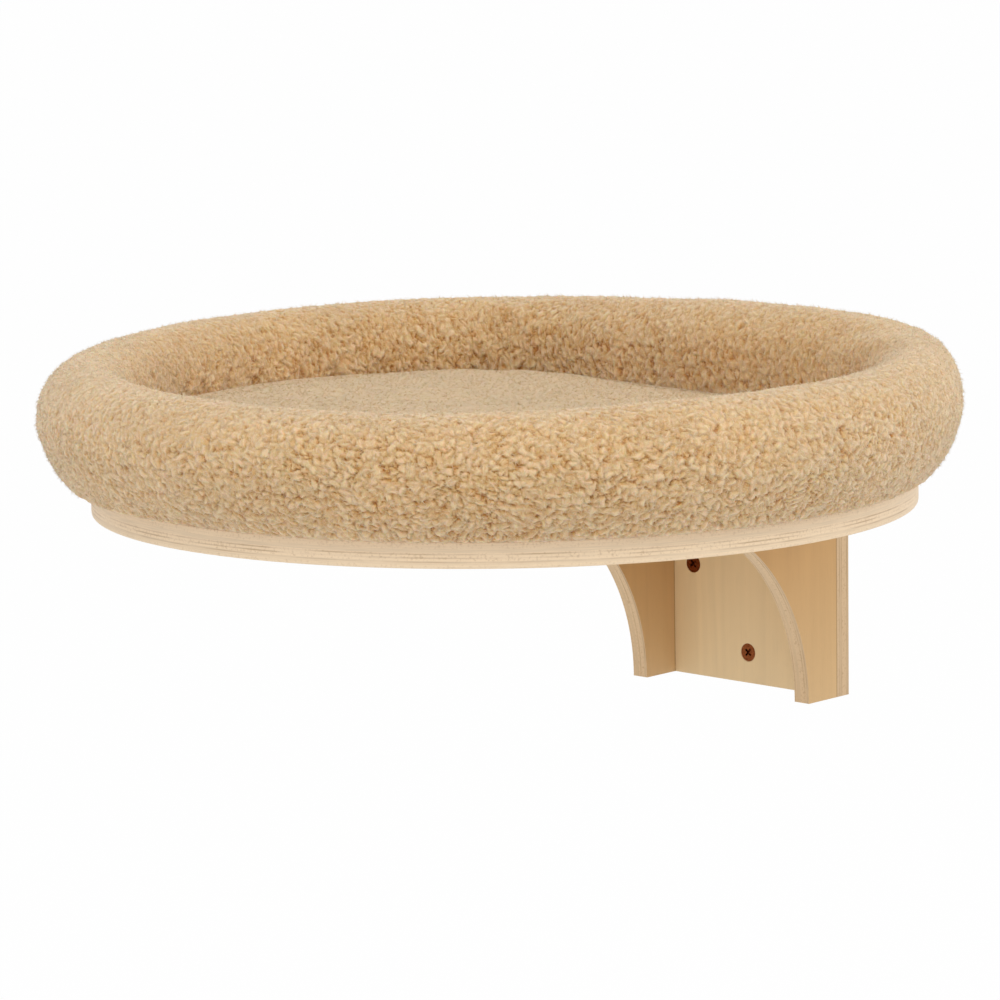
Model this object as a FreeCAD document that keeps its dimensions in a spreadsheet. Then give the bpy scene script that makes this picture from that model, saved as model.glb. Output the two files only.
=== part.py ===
import FreeCAD, Part
import Sketcher
import os
from math import sqrt

# A wall-hung cat perch: a round plywood shelf on a plywood bracket, with a plush nest bed on top.
# Millimetres. The origin is the centre of the bracket plate's rear face, +Y points into the wall,
# +Z up, and the shelf reaches out towards -Y.

doc = FreeCAD.newDocument("cat_perch")
sheet = doc.addObject("Spreadsheet::Sheet", "Sizes")

# Driving sizes, one cell each

DRIVING = [
    # plywood shelf
    ("shelf_diameter", 385.0),
    ("shelf_thickness", 12.0),
    ("shelf_edge_round", 1.0),
    # plywood bracket
    ("bracket_width", 115.0),
    ("plate_height", 114.0),
    ("plate_thickness", 9.0),
    ("gusset_thickness", 9.0),
    ("gusset_reach", 122.0),
    ("gusset_foot", 22.0),
    ("gusset_nose", 14.0),
    # screws into the wall
    ("wall_screw_thread", 4.0),
    ("wall_screw_shank", 3.6),
    ("wall_screw_head", 9.0),
    ("wall_screw_length", 30.0),
    ("wall_screw_tip", 6.0),
    ("side_screw_offset", 36.0),
    ("bottom_screw_rise", 15.5),
    # screws that join the plywood
    ("joint_screw_thread", 3.5),
    ("joint_screw_shank", 3.1),
    ("joint_screw_head", 7.0),
    ("joint_screw_length", 30.0),
    ("joint_screw_tip", 4.0),
    # screw recesses and fits
    ("tip_diameter", 0.6),
    ("cross_width", 1.1),
    ("cross_depth", 1.5),
    ("head_recess", 0.2),
    ("head_clearance", 0.1),
    ("screw_clearance", 0.25),
    ("thread_clearance", 0.05),
    ("pilot_run_out", 1.0),
    # hook and loop patches between shelf and bed
    ("patch_diameter", 40.0),
    ("patch_thickness", 1.0),
    ("patch_gap", 0.3),
    ("patch_margin", 28.0),
    # plush bolster
    ("bed_diameter", 430.0),
    ("bolster_width", 46.0),
    ("bolster_height", 61.0),
    ("bed_wall_clearance", 0.8),
    ("bed_flattening", 32.0),
    ("bed_corner_radius", 100.0),
    ("bed_gap", 0.3),
    ("cover_thickness", 2.5),
    ("fill_clearance", 0.1),
    # pad inside the bolster
    ("base_thickness", 1.0),
    ("pad_thickness", 25.0),
    ("pad_crown", 3.0),
    ("pad_crown_margin", 4.7),
    ("pad_cover_thickness", 2.0),
    ("pad_tuck", 3.0),
    ("pad_shoulder", 7.0),
    ("seam_clearance", 0.3),
]


class Size:
    """A number together with the sheet expression that gives it."""

    def __init__(self, text, value):
        self.text = text
        self.value = value

    def __add__(self, other):
        return Size(f"({self.text} + {other.text})", self.value + other.value)

    def __sub__(self, other):
        return Size(f"({self.text} - {other.text})", self.value - other.value)

    def __mul__(self, other):
        if isinstance(other, Size):
            return Size(f"({self.text} * {other.text})", self.value * other.value)
        return Size(f"({self.text} * {other})", self.value * other)

    def __truediv__(self, other):
        if isinstance(other, Size):
            return Size(f"({self.text} / {other.text})", self.value / other.value)
        return Size(f"({self.text} / {other})", self.value / other)

    def __neg__(self):
        return Size(f"(0 - {self.text})", -self.value)


def root(size):
    return Size(f"sqrt({size.text})", sqrt(size.value))


ZERO = Size("0", 0.0)
ONE = Size("1", 1.0)
size = {}
for row, (alias, number) in enumerate(DRIVING, start=1):
    sheet.set(f"A{row}", alias)
    sheet.set(f"B{row}", str(number))
    sheet.setAlias(f"B{row}", alias)
    size[alias] = Size(f"Sizes.{alias}", number)
doc.recompute()

# Places worked out from the driving sizes

half_width = size["bracket_width"] / 2
plate_top = size["plate_height"] / 2
plate_front = -size["plate_thickness"]
shelf_radius = size["shelf_diameter"] / 2
shelf_top = plate_top + size["shelf_thickness"]
# the shelf's rear is cut straight, as wide as the bracket and flush with the plate's rear face
shelf_centre = -root(shelf_radius * shelf_radius - half_width * half_width)
gusset_middle = half_width - size["gusset_thickness"] / 2

# the bolster's centre line is a circle about the bed's centre, pressed flat along the wall
ring_radius = (size["bed_diameter"] - size["bolster_width"]) / 2
ring_flat = ring_radius - size["bed_flattening"]
bed_centre = -(size["bed_wall_clearance"] + size["bolster_width"] / 2 + ring_flat)
corner_radius = size["bed_corner_radius"]
corner_reach = ring_radius - corner_radius
corner_rise = ring_flat - corner_radius
corner_offset = root(corner_reach * corner_reach - corner_rise * corner_rise)

bolster_bottom = shelf_top + size["bed_gap"]
loop_bottom = shelf_top + size["patch_thickness"] + size["patch_gap"]
base_bottom = loop_bottom + size["patch_thickness"]
pad_bottom = base_bottom + size["base_thickness"]
pad_inset = size["bolster_width"] / 2 + size["seam_clearance"]
pad_rim = pad_bottom + size["pad_thickness"]
pad_radius = ring_radius - pad_inset
pad_flat = ring_flat - pad_inset

DIAGONAL_SHARE = sqrt(0.5)


# Sketch helpers

def new_body(name):
    body = doc.addObject("PartDesign::Body", name)
    body.Label = name
    return body


def new_sketch(body, name, role, height=ZERO):
    """A sketch on one of the body's own origin planes, raised along that plane's normal."""
    sketch = body.newObject("Sketcher::SketchObject", name)
    plane = [feature for feature in body.Origin.OriginFeatures if feature.Role == role][0]
    sketch.AttachmentSupport = [(plane, "")]
    sketch.MapMode = "FlatFace"
    sketch.setExpression("AttachmentOffset.Base.z", height.text)
    return sketch


def bind(sketch, constraint, size_value):
    index = sketch.addConstraint(constraint)
    sketch.setExpression(f"Constraints[{index}]", size_value.text)


def pin(sketch, geometry, position, point):
    """Hold one point of the geometry at a place given in named sizes."""
    origin = -1
    axes = (("DistanceX", -2), ("DistanceY", -1))
    for coordinate, (kind, axis) in zip(point, axes):
        if coordinate is ZERO:
            sketch.addConstraint(Sketcher.Constraint("PointOnObject", geometry, position, axis))
        else:
            number = coordinate.value
            constraint = Sketcher.Constraint(kind, origin, 1, geometry, position, number)
            bind(sketch, constraint, coordinate)


def vector(point):
    return FreeCAD.Vector(point[0].value, point[1].value, 0)


def draw_outline(sketch, start, runs):
    """A closed outline. Each run is (end,) for a line or (end, via) for an arc through via."""
    first = None
    before = None
    here = start
    for run in runs:
        end = run[0]
        if len(run) == 1:
            curve = Part.LineSegment(vector(here), vector(end))
            begins, ends = 1, 2
        else:
            curve = Part.Arc(vector(here), vector(run[1]), vector(end))
            turn = (vector(run[1]) - vector(here)).cross(vector(end) - vector(run[1])).z
            begins, ends = (1, 2) if turn > 0 else (2, 1)
        piece = sketch.addGeometry(curve, False)
        if before is None:
            first = (piece, begins)
        else:
            sketch.addConstraint(Sketcher.Constraint("Coincident", *before, piece, begins))
        if len(run) == 2:
            mark = sketch.addGeometry(Part.Point(vector(run[1])), True)
            pin(sketch, mark, 1, run[1])
            sketch.addConstraint(Sketcher.Constraint("PointOnObject", mark, 1, piece))
        pin(sketch, piece, ends, end)
        before = (piece, ends)
        here = end
    sketch.addConstraint(Sketcher.Constraint("Coincident", *before, *first))


def draw_circles(sketch, centres, diameter):
    for centre in centres:
        axis = FreeCAD.Vector(0, 0, 1)
        circle = sketch.addGeometry(Part.Circle(vector(centre), axis, diameter.value / 2), False)
        pin(sketch, circle, 3, centre)
        bind(sketch, Sketcher.Constraint("Diameter", circle, diameter.value), diameter)


def pad(body, sketch, length):
    feature = body.newObject("PartDesign::Pad", sketch.Name + "_pad")
    feature.Profile = sketch
    feature.setExpression("Length", length.text)
    doc.recompute()
    return feature


def revolve(body, sketch, kind="PartDesign::Revolution"):
    feature = body.newObject(kind, sketch.Name + "_turned")
    feature.Profile = sketch
    feature.ReferenceAxis = (sketch, ["V_Axis"])
    feature.Angle = 360
    doc.recompute()
    return feature


def must_cut(before, feature):
    if feature.Shape.Volume >= before:
        raise RuntimeError(f"{feature.Name} cut nothing")


def drill(body, name, role, height, centres, diameter, head=None, depth=None, towards_normal=False):
    """Round holes from a plane, with a countersink for a flush head where head is given."""
    before = body.Shape.Volume
    sketch = new_sketch(body, name, role, height)
    draw_circles(sketch, centres, diameter)
    doc.recompute()
    hole = body.newObject("PartDesign::Hole", name + "_hole")
    hole.Profile = sketch
    doc.recompute()
    hole.Threaded = False
    hole.Reversed = towards_normal
    hole.DrillPoint = "Flat"
    hole.setExpression("Diameter", diameter.text)
    if depth is None:
        hole.DepthType = "ThroughAll"
    else:
        hole.DepthType = "Dimension"
        hole.setExpression("Depth", depth.text)
    if head is not None:
        mouth = head + (size["head_recess"] + size["head_clearance"]) * 2
        hole.HoleCutType = "Countersink"
        hole.HoleCutCustomValues = True
        hole.HoleCutCountersinkAngle = 90
        hole.setExpression("HoleCutDiameter", mouth.text)
    doc.recompute()
    must_cut(before, hole)


# Screws: a countersunk head with a cross recess, a plain shank, a thread and a point

def make_screw(name, kind, grip, place, tilt, cross_turn):
    """The head's top is at the body's own origin and the shaft points along its -Z. Angles are in degrees."""
    head = size[f"{kind}_screw_head"] / 2
    shank = size[f"{kind}_screw_shank"] / 2
    thread = size[f"{kind}_screw_thread"] / 2
    length = size[f"{kind}_screw_length"]
    tip = size["tip_diameter"] / 2
    body = new_body(name)
    half = new_sketch(body, name + "_half", "XZ_Plane")
    start = (ZERO, ZERO)
    corners = [
        (head, ZERO),
        (shank, shank - head),
        (shank, -grip),
        (thread, -grip - (thread - shank)),
        (thread, size[f"{kind}_screw_tip"] - length),
        (tip, -length),
        (ZERO, -length),
        start,
    ]
    draw_outline(half, start, [(corner,) for corner in corners])
    turned = revolve(body, half)
    reach = head / 2
    arm = size["cross_width"] / 2
    cross = new_sketch(body, name + "_cross", "XY_Plane")
    arms = [
        (arm, reach), (-arm, reach), (-arm, arm), (-reach, arm), (-reach, -arm), (-arm, -arm),
        (-arm, -reach), (arm, -reach), (arm, -arm), (reach, -arm), (reach, arm), (arm, arm),
    ]
    draw_outline(cross, arms[-1], [(corner,) for corner in arms])
    recess = body.newObject("PartDesign::Pocket", name + "_recess")
    recess.Profile = cross
    recess.setExpression("Length", size["cross_depth"].text)
    doc.recompute()
    must_cut(turned.Shape.Volume, recess)
    spin = FreeCAD.Rotation(FreeCAD.Vector(0, 0, 1), cross_turn)
    body.Placement.Rotation = FreeCAD.Rotation(FreeCAD.Vector(1, 0, 0), tilt) * spin
    for axis, coordinate in zip("xyz", place):
        body.setExpression(f"Placement.Base.{axis}", coordinate.text)


INTO_WALL, OUT_OF_WALL, DOWN = 90, -90, 0
CROSS_TURNS = {"wall_screw_left": 40, "wall_screw_right": 15, "wall_screw_bottom": 50}
JOINT_CROSS_TURN = 25
wall_places = {
    "wall_screw_left": (-size["side_screw_offset"], ZERO),
    "wall_screw_right": (size["side_screw_offset"], ZERO),
    "wall_screw_bottom": (ZERO, size["bottom_screw_rise"] - plate_top),
}
for name, (across, up) in wall_places.items():
    place = (across, plate_front + size["head_recess"], up)
    grip = size["plate_thickness"] - size["head_recess"]
    make_screw(name, "wall", grip, place, INTO_WALL, CROSS_TURNS[name])

SIDES = {"left": -gusset_middle, "right": gusset_middle}
PLATE_SCREW_SHARES = {"lower": -0.28, "upper": 0.28}
SHELF_SCREW_SHARES = {"rear": 0.22, "front": 0.62}
plate_screw_heights = {end: size["plate_height"] * share for end, share in PLATE_SCREW_SHARES.items()}
shelf_screw_depths = {
    end: plate_front - size["gusset_reach"] * share for end, share in SHELF_SCREW_SHARES.items()
}
for side, across in SIDES.items():
    for end, up in plate_screw_heights.items():
        grip = size["plate_thickness"] - size["head_recess"]
        place = (across, -size["head_recess"], up)
        make_screw(f"plate_screw_{side}_{end}", "joint", grip, place, OUT_OF_WALL, JOINT_CROSS_TURN)
    for end, depth in shelf_screw_depths.items():
        grip = size["shelf_thickness"] - size["head_recess"]
        place = (across, depth, shelf_top - size["head_recess"])
        make_screw(f"shelf_screw_{side}_{end}", "joint", grip, place, DOWN, JOINT_CROSS_TURN)

joint_hole = size["joint_screw_thread"] + size["screw_clearance"] * 2
pilot_hole = size["joint_screw_thread"] + size["thread_clearance"] * 2
wall_hole = size["wall_screw_thread"] + size["screw_clearance"] * 2

# Back plate

plate = new_body("back_plate")
face = new_sketch(plate, "plate_face", "XZ_Plane")
corners = [(-half_width, plate_top), (-half_width, -plate_top), (half_width, -plate_top), (half_width, plate_top)]
draw_outline(face, corners[-1], [(corner,) for corner in corners])
pad(plate, face, size["plate_thickness"])
drill(plate, "wall_holes", "XZ_Plane", size["plate_thickness"], list(wall_places.values()),
      wall_hole, head=size["wall_screw_head"])
rear_places = [(across, up) for across in SIDES.values() for up in plate_screw_heights.values()]
drill(plate, "plate_joint_holes", "XZ_Plane", ZERO, rear_places,
      joint_hole, head=size["joint_screw_head"], towards_normal=True)

# Gussets: square legs joined by a hollow curve

def make_gusset(side, across, inner_face):
    gusset = new_body(f"gusset_{side}")
    outline = new_sketch(gusset, f"gusset_{side}_outline", "YZ_Plane", inner_face)
    tip = plate_front - size["gusset_reach"]
    foot = plate_front - size["gusset_foot"]
    nose = plate_top - size["gusset_nose"]
    via = (tip + (foot - tip) * DIAGONAL_SHARE, -plate_top + (nose + plate_top) * DIAGONAL_SHARE)
    runs = [
        ((tip, plate_top),),
        ((tip, nose),),
        ((foot, -plate_top), via),
        ((plate_front, -plate_top),),
        ((plate_front, plate_top),),
    ]
    draw_outline(outline, runs[-1][0], runs)
    pad(gusset, outline, size["gusset_thickness"])
    into_plate = size["joint_screw_length"] - size["plate_thickness"] + size["pilot_run_out"]
    into_shelf = size["joint_screw_length"] - size["shelf_thickness"] + size["pilot_run_out"]
    rear = [(across, up) for up in plate_screw_heights.values()]
    drill(gusset, f"gusset_{side}_rear", "XZ_Plane", size["plate_thickness"], rear,
          pilot_hole, depth=into_plate, towards_normal=True)
    top = [(across, depth) for depth in shelf_screw_depths.values()]
    drill(gusset, f"gusset_{side}_top", "XY_Plane", plate_top, top, pilot_hole, depth=into_shelf)


make_gusset("left", SIDES["left"], -half_width)
make_gusset("right", SIDES["right"], half_width - size["gusset_thickness"])

# Round shelf with a straight rear edge and rounded rims

shelf = new_body("shelf_disc")
rim = new_sketch(shelf, "shelf_outline", "XY_Plane", plate_top)
shelf_front = (ZERO, shelf_centre - shelf_radius)
draw_outline(rim, (-half_width, ZERO), [((half_width, ZERO), shelf_front), ((-half_width, ZERO),)])
slab = pad(shelf, rim, size["shelf_thickness"])
curved = [
    f"Edge{number}" for number, edge in enumerate(slab.Shape.Edges, start=1)
    if isinstance(edge.Curve, Part.Circle)
]
rounding = shelf.newObject("PartDesign::Fillet", "shelf_rounding")
rounding.Base = (slab, curved)
rounding.setExpression("Radius", size["shelf_edge_round"].text)
doc.recompute()
top_places = [(across, depth) for across in SIDES.values() for depth in shelf_screw_depths.values()]
drill(shelf, "shelf_joint_holes", "XY_Plane", shelf_top, top_places,
      joint_hole, head=size["joint_screw_head"])

# Hook patches on the shelf and loop patches under the bed

PATCHES = {"front_left": (-1, -1), "front_right": (1, -1), "rear_left": (-1, 1), "rear_right": (1, 1)}
patch_reach = (pad_radius - size["patch_margin"] - size["patch_diameter"] / 2) * DIAGONAL_SHARE
for corner, (across, along) in PATCHES.items():
    centre = (patch_reach * across, bed_centre + patch_reach * along)
    for layer, height in (("hook", shelf_top), ("loop", loop_bottom)):
        patch = new_body(f"{layer}_patch_{corner}")
        disc = new_sketch(patch, f"{layer}_patch_{corner}_disc", "XY_Plane", height)
        draw_circles(disc, [centre], size["patch_diameter"])
        pad(patch, disc, size["patch_thickness"])


# Bed: outlines that run parallel to the bolster's centre line

def draw_bed_outline(sketch, inset):
    """The centre line moved inwards: two front arcs, two corner arcs and the run along the wall."""
    side = corner_offset / corner_reach
    rise = corner_rise / corner_reach
    front_radius = ring_radius - inset
    turn_radius = corner_radius - inset
    front_lean = root(side * side + (rise - ONE) * (rise - ONE))
    turn_lean = root(side * side + (rise + ONE) * (rise + ONE))
    front = (ZERO, bed_centre - front_radius)
    flat = bed_centre + ring_flat - inset
    meet = (front_radius * side, bed_centre + front_radius * rise)
    bow = (front_radius * side / front_lean, bed_centre + front_radius * (rise - ONE) / front_lean)
    turn = (
        corner_offset + turn_radius * side / turn_lean,
        bed_centre + corner_rise + turn_radius * (rise + ONE) / turn_lean,
    )
    left = [(-point[0], point[1]) for point in (meet, bow, turn)]
    runs = [
        (meet, bow),
        ((corner_offset, flat), turn),
        ((-corner_offset, flat),),
        (left[0], left[2]),
        (front, left[1]),
    ]
    draw_outline(sketch, front, runs)


# Places around the bolster's section, outwards as a share of its width and up as a share of its height
SECTION_SHARES = {
    "inner_foot": (-0.44, 0.0),
    "outer_foot": (0.0, 0.0),
    "outer_flank": (0.37, 0.19),
    "outer_side": (0.5, 0.5),
    "outer_shoulder": (0.36, 0.86),
    "crest": (0.0, 1.0),
    "inner_shoulder": (-0.37, 0.88),
    "inner_side": (-0.5, 0.55),
    "inner_flank": (-0.495, 0.25),
}


def draw_bolster_section(sketch, margin):
    """The bolster's section at the front: flat under, full outside, round crest, upright inside."""
    middle = bed_centre - ring_radius
    width = size["bolster_width"] - margin * 2
    height = size["bolster_height"] - margin * 2
    bottom = bolster_bottom + margin
    at = {
        place: (middle - width * out, bottom + height * up)
        for place, (out, up) in SECTION_SHARES.items()
    }
    runs = [
        (at["outer_foot"],),
        (at["outer_side"], at["outer_flank"]),
        (at["crest"], at["outer_shoulder"]),
        (at["inner_side"], at["inner_shoulder"]),
        (at["inner_foot"], at["inner_flank"]),
    ]
    draw_outline(sketch, at["inner_foot"], runs)


def pipe(body, name, margin, kind):
    section = new_sketch(body, name + "_section", "YZ_Plane")
    draw_bolster_section(section, margin)
    path = new_sketch(body, name + "_path", "XY_Plane", bolster_bottom)
    draw_bed_outline(path, ZERO)
    doc.recompute()
    feature = body.newObject(kind, name + "_ring")
    feature.Profile = section
    feature.Spine = (path, [""])
    feature.Mode = "Frenet"
    doc.recompute()
    return feature


cover = new_body("bolster_cover")
outer = pipe(cover, "cover_outside", ZERO, "PartDesign::AdditivePipe")
hollow = pipe(cover, "cover_inside", size["cover_thickness"], "PartDesign::SubtractivePipe")
must_cut(outer.Shape.Volume, hollow)
fill = new_body("bolster_fill")
pipe(fill, "fill", size["cover_thickness"] + size["fill_clearance"], "PartDesign::AdditivePipe")

# Bed base cloth

base = new_body("bed_base_cloth")
cloth = new_sketch(base, "base_outline", "XY_Plane", base_bottom)
draw_bed_outline(cloth, pad_inset)
pad(base, cloth, size["base_thickness"])

# Pad: drawn in at the bottom, full at mid height, rounded at the shoulder and crowned in the middle

# How far up the pad is fullest, and where its shoulder starts to turn in and by how much
FULL_SHARE = 0.5
TURN_SHARE = 0.85
TURN_IN_SHARE = 0.3
# A point on the crown's arc, out from the middle and up from the pad's flat top
CROWN_ARC_SHARES = (0.5, 0.75)


def loft(body, name, margin, kind):
    """One slice of the pad for each level, from its seam to its shoulder."""
    rise = size["pad_thickness"] - margin
    levels = [
        (ZERO, size["pad_tuck"]),
        (rise * FULL_SHARE, ZERO),
        (rise * TURN_SHARE, size["pad_shoulder"] * TURN_IN_SHARE),
        (rise, size["pad_shoulder"]),
    ]
    slices = []
    for number, (height, draw_in) in enumerate(levels):
        outline = new_sketch(body, f"{name}_slice_{number}", "XY_Plane", pad_bottom + height)
        draw_bed_outline(outline, pad_inset + margin + draw_in)
        slices.append(outline)
    doc.recompute()
    feature = body.newObject(kind, name + "_loft")
    feature.Profile = slices[0]
    feature.Sections = slices[1:]
    feature.Ruled = True
    doc.recompute()
    return feature


def crown(body, name, margin, kind):
    """A shallow dome on the pad's flat top, turned about the bed's centre."""
    edge = pad_flat - margin - size["pad_shoulder"] - size["pad_crown_margin"]
    rim_height = pad_rim - margin
    half = new_sketch(body, name + "_dome", "YZ_Plane")
    half.setExpression("AttachmentOffset.Base.x", bed_centre.text)
    top = (ZERO, rim_height + size["pad_crown"])
    out, up = CROWN_ARC_SHARES
    via = (edge * out, rim_height + size["pad_crown"] * up)
    draw_outline(half, (ZERO, rim_height), [((edge, rim_height),), (top, via), ((ZERO, rim_height),)])
    return revolve(body, half, kind)


pad_cover = new_body("pad_cover")
loft(pad_cover, "pad_outside", ZERO, "PartDesign::AdditiveLoft")
domed = crown(pad_cover, "pad_outside", ZERO, "PartDesign::Revolution")
hollowed = loft(pad_cover, "pad_inside", size["pad_cover_thickness"], "PartDesign::SubtractiveLoft")
must_cut(domed.Shape.Volume, hollowed)
arched = crown(pad_cover, "pad_inside", size["pad_cover_thickness"], "PartDesign::Groove")
must_cut(hollowed.Shape.Volume, arched)
foam = new_body("pad_foam")
foam_margin = size["pad_cover_thickness"] + size["fill_clearance"]
loft(foam, "foam", foam_margin, "PartDesign::AdditiveLoft")
crown(foam, "foam", foam_margin, "PartDesign::Revolution")

# Check everything, then write one file per piece

doc.recompute()
failed = [item.Name for item in doc.Objects if {"Invalid", "Error"} & set(item.State)]
if failed:
    raise RuntimeError(f"failed features: {failed}")
bodies = [item for item in doc.Objects if item.TypeId == "PartDesign::Body"]
for body in bodies:
    if body.Shape.isNull() or not body.Shape.isValid() or len(body.Shape.Solids) != 1:
        raise RuntimeError(f"{body.Label} is not one sound solid")
os.makedirs("parts", exist_ok=True)
for body in bodies:
    body.Shape.exportStep(f"parts/{body.Label}.step")
    box = body.Shape.BoundBox
    print(f"{body.Label}: {body.Shape.Volume:.0f} mm3, y {box.YMin:.1f} to {box.YMax:.1f},",
          f"z {box.ZMin:.1f} to {box.ZMax:.1f}")
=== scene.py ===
import math

import bpy
import numpy as np
from mathutils import Matrix, Vector


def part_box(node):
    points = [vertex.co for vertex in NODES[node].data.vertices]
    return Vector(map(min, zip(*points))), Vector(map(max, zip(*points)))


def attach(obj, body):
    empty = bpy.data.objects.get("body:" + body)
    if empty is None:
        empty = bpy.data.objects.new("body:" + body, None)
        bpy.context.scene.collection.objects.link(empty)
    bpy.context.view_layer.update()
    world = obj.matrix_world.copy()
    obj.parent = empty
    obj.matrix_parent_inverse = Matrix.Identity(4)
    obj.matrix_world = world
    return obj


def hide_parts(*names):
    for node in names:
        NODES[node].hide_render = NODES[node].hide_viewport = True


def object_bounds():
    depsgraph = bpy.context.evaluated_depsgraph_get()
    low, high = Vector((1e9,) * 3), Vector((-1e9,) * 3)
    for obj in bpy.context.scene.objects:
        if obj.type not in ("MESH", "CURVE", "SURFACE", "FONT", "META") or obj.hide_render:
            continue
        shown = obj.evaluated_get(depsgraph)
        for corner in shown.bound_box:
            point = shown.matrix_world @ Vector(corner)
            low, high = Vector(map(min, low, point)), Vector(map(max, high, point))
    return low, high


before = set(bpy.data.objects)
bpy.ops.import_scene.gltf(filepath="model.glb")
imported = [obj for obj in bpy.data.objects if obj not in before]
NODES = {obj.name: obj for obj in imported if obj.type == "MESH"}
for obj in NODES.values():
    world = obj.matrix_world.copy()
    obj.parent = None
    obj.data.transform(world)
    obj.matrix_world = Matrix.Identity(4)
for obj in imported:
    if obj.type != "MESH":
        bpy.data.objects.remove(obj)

CAD_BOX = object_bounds()
MM = 0.001
TINY = 1e-12

# The bed's plan: a circle with a flattened rear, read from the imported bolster
BOLSTER_LOW, BOLSTER_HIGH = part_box("bolster_cover")
PAD_LOW, PAD_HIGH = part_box("pad_cover")
BASE_LOW, BASE_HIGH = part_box("bed_base_cloth")
SHELF_LOW, SHELF_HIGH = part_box("shelf_disc")
BOLSTER_WIDTH = 46 * MM
CORNER_RADIUS = 100 * MM
RING_RADIUS = BOLSTER_HIGH.x - BOLSTER_WIDTH / 2
BED_Y = BOLSTER_LOW.y + BOLSTER_HIGH.x
RING_FLAT = BOLSTER_HIGH.y - BOLSTER_WIDTH / 2 - BED_Y
CORNER_Y = RING_FLAT - CORNER_RADIUS
CORNER_X = math.sqrt((RING_RADIUS - CORNER_RADIUS) ** 2 - CORNER_Y ** 2)
CORNER_START = math.atan2(CORNER_Y, CORNER_X)

# The stuffed forms: the crest's height in millimetres at plan angles in degrees, highest by the wall
CREST_HEIGHTS = {0: 57, 50: 65, 71: 70, 90: 70, 130: 65.5, 180: 62.5, 225: 58.5, 270: 55, 300: 53, 335: 56}
WIDEST_SHARE = 0.55
CREST_POWER, OUTER_POWER, INNER_POWER = 2.1, 1.6, 4.5
SEWN_SHARE = 0.06
SIDE_SHIFT = 1.9 * MM
SIDE_SHIFT_ANGLE = math.radians(224)
SAG = 3 * MM
SAG_HEIGHT = 20 * MM
SAG_ANGLE = math.radians(200)
SEAT_Z = BOLSTER_LOW.z
WALL_GAP = -BOLSTER_HIGH.y
FILL_LUMP = 0.5 * MM
LARGE_LUMPS, SMALL_LUMPS = (16, 4), (38, 8)
PAD_CLOTH = 2.2 * PAD_HIGH.x
PAD_LUMPS = 7, 7
PAD_CROWN = 3 * MM
PAD_LEAN = 0.027
PAD_EDGE_ROUND = 5 * MM
PAD_PRESS = 1.5 * MM
CLOTH_FRAMES = 20
CLOTH_PRESSURE = 4.0
BOLSTER_SWELL = 2.5 * MM
PAD_SWELL = 2.0 * MM
PUFF_LIMIT = 1.2 * MM

# The pile: half a lock's length and width are shares of the spacing, turn and drift are in radians
PILE_ROOT = 0.8 * MM
LOCK_SPACING = 2.9 * MM
LOCK_HEIGHT = 2.4 * MM
LOCK_LAYERS = 1.0, 0.8
LOCK_LENGTH_SHARES = 0.8, 1.6
LOCK_WIDTH_SHARES = 0.5, 0.85
LOCK_TURN, LOCK_DRIFT = 0.8, 1.1
LOCK_BEND = 0.7
CREASE_DEPTH, CREASE_WIDTH = 0.45, 0.08
PAD_LOCK_SPACING = 2.4 * MM
PAD_LOCK_HEIGHT = 0.9 * MM
FOOT_FADE = 5 * MM
FRINGE = 1.2 * MM
FRINGE_START = 0.8 * MM
FRINGE_WIDTH = 1 * MM
FRINGE_RISE = 3 * MM
SHELF_MARGIN = 1 * MM
# Painted shade: the bolster's inner side is drawn darker by lowering the pile level that its material reads
INSIDE_PAINTED_SHADE = 0.05
PILE_MEAN = 0.56
PILE_LEVEL = 0.5
CURL_ANGLE = math.radians(-46)
CALM_ENDS, CALM_CREST = 0.35, 0.35
CREST_START = 0.6

# The single fibres, which stand where the pile is higher than their floor
FIBRE_LENGTH = 1.4 * MM, 3.2 * MM
FIBRE_RADIUS = 0.14 * MM, 0.25 * MM
FIBRE_ROOT = 0.4 * MM
FIBRE_RISE, FIBRE_LEAN, FIBRE_CURL = 0.5, 0.9, 0.4
FIBRE_FLOOR = 0.3
FIBRE_CLEAR = 2 * MM
BOLSTER_FIBRES, PAD_FIBRES = 49000, 18000
STRAND = 0.5 * MM

# What the covers hold, and the cloth under the bed
FILL_INSET = 7 * MM
FILL_TANGLE = 0.8 * MM
LARGE_TANGLE, SMALL_TANGLE = (70, 10), (130, 20)
FOAM_INSET = 5 * MM
BASE_MIDDLE = 0.5 * MM
BASE_THICKNESS = 0.8 * MM
BASE_SAG = 0.12 * MM
HEM_INSET = 5 * MM
STITCHES = 230
STITCH_LEVEL = 0.1 * MM
STITCH_REACH = 1.6 * MM
STITCH_RADIUS = 0.4 * MM
STITCH_SIDES = 6

# The plywood
BAND_LENGTH, BAND_WIDTH = 160 * MM, 9 * MM
PORE_LENGTH, PORE_WIDTH = 14 * MM, 0.5 * MM
STREAK_LENGTH, STREAK_WIDTH = 16 * MM, 0.35 * MM
SPECK = 1.1 * MM
GLUE_LINE = 0.1 * MM, 0.45 * MM
SEAM_LINE = 0.2 * MM, 0.9 * MM

# Mesh counts
OUTLINE_STEPS = 2001
RING_COARSE, SECTION_COARSE = 220, 32
RING_FINE, SECTION_FINE = 1800, 224
RING_FILL, SECTION_FILL = 260, 40
PAD_COARSE, PAD_FINE, PAD_FOAM = 41, 321, 61
BASE_GRID = 81

# The camera, fitted to the shelf's rims and the bracket's corners
CAMERA_PLACE = Vector((1.2808, -1.5191, 0.338))
CAMERA_YAW = math.radians(-43.875)
CAMERA_PITCH = math.radians(8.63)
CAMERA_ROLL = math.radians(-0.944)
FOCAL_PIXELS = 4000
FRAME_PIXELS = 1000

# The stage
WORLD_LIGHT = 0.82
FLOOR_SIDE, FLOOR_DROP = 40.0, 0.45


# Shapes shared by the soft pieces

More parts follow.
